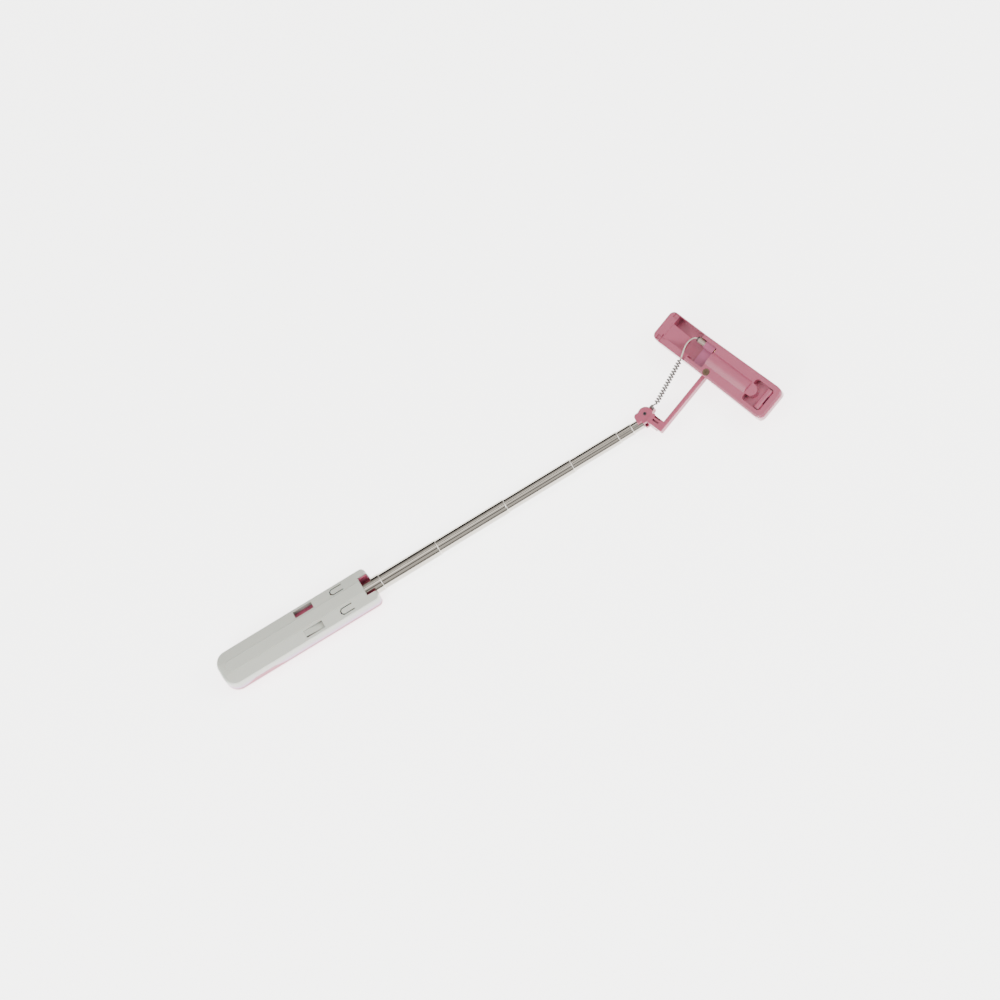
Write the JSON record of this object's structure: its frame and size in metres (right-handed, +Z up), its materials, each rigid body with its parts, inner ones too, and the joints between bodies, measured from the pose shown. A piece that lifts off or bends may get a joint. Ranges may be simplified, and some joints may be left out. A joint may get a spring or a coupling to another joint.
{
  "type": "selfie stick",
  "caption": "Hand-held telescopic stick with a folding arm and a sliding phone clamp, worked through a curly lead that ends in a jack plug",
  "frame": {"origin": "centre of the flat front face of the handle, which rests on the table", "axes": "+X along the pole towards the clamp, +Y to the left seen from behind the back face, +Z up out of the back"},
  "size_m": [0.4151, 0.0984, 0.0263],
  "materials": {
    "white_shell": "satin",
    "pink_cover": "satin",
    "pink_clamp": "gloss",
    "pink_button": "satin",
    "dark_plastic": "satin",
    "collar_pink": "satin",
    "circuit_board": "satin",
    "chrome_tube": "polished",
    "steel": "brushed",
    "bronze_screw": "satin",
    "pad_rubber": "matte",
    "lead_jacket": "satin",
    "plug_moulding": "satin",
    "plug_ring": "satin",
    "plug_metal": "polished"
  },
  "bodies": {
    "handle": {"handle_back_shell": "white_shell", "handle_front_cover": "pink_cover", "tact_switch": "dark_plastic", "shutter_board": "circuit_board", "board_screws": "steel", "pole_collar": "collar_pink", "pole_root_plug": "dark_plastic", "pole_tube_1": "chrome_tube"},
    "button": {"shutter_button": "pink_button"},
    "tube_2": {"pole_tube_2": "chrome_tube", "slide_bush_2": "dark_plastic"},
    "tube_3": {"pole_tube_3": "chrome_tube", "slide_bush_3": "dark_plastic"},
    "tube_4": {"pole_tube_4": "chrome_tube", "slide_bush_4": "dark_plastic"},
    "tube_5": {"pole_tube_5": "chrome_tube", "slide_bush_5": "dark_plastic"},
    "tube_6": {"pole_tube_6": "chrome_tube", "slide_bush_6": "dark_plastic"},
    "tube_7": {"pole_tube_7": "chrome_tube", "slide_bush_7": "dark_plastic", "pole_head": "pink_cover", "hinge_rivet": "steel"},
    "arm": {"fold_arm": "pink_cover", "cord_gland": "lead_jacket", "arm_screw": "bronze_screw", "clamp_housing": "pink_clamp", "clamp_front_plate": "pink_clamp", "plate_screws": "steel", "plug_dock": "pink_clamp", "fixed_jaw_pad": "pad_rubber", "jaw_spring_left": "steel", "jaw_spring_right": "steel", "plug_body": "plug_moulding", "plug_collar": "plug_ring", "plug_tip": "plug_metal", "cord_lead": "lead_jacket", "cord_coil": "lead_jacket", "cord_tail": "lead_jacket"},
    "slider": {"clamp_slider": "pink_clamp", "moving_jaw_pad": "pad_rubber"}
  },
  "joints": [
    {"name": "button_press", "type": "slide", "parent": "handle", "child": "button", "axis": [0, 0, 1], "range_m": [0, 0.0006], "stiffness_N_per_m": 400, "springref_m": -0.0004},
    {"name": "tube_2_slide", "type": "slide", "parent": "handle", "child": "tube_2", "axis": [1, 0, 0], "range_m": [-0.039, 0.0364]},
    {"name": "tube_3_slide", "type": "slide", "parent": "tube_2", "child": "tube_3", "axis": [1, 0, 0], "range_m": [-0.0479, 0.0275]},
    {"name": "tube_4_slide", "type": "slide", "parent": "tube_3", "child": "tube_4", "axis": [1, 0, 0], "range_m": [-0.0467, 0.0287]},
    {"name": "tube_5_slide", "type": "slide", "parent": "tube_4", "child": "tube_5", "axis": [1, 0, 0], "range_m": [-0.0312, 0.0442]},
    {"name": "tube_6_slide", "type": "slide", "parent": "tube_5", "child": "tube_6", "axis": [1, 0, 0], "range_m": [-0.006, 0.0694]},
    {"name": "tube_7_slide", "type": "slide", "parent": "tube_6", "child": "tube_7", "axis": [1, 0, 0], "range_m": [0, 0.0724]},
    {"name": "arm_fold", "type": "hinge", "parent": "tube_7", "child": "arm", "pos_m": [0.2738, 0.0022, 0.0089], "axis": [0, 0, 1], "range_deg": [-21.1, 68.9]},
    {"name": "jaw_slide", "type": "slide", "parent": "arm", "child": "slider", "axis": [-0.36, 0.933, 0], "range_m": [0, 0.028], "stiffness_N_per_m": 60, "springref_m": -0.012}
  ]
}
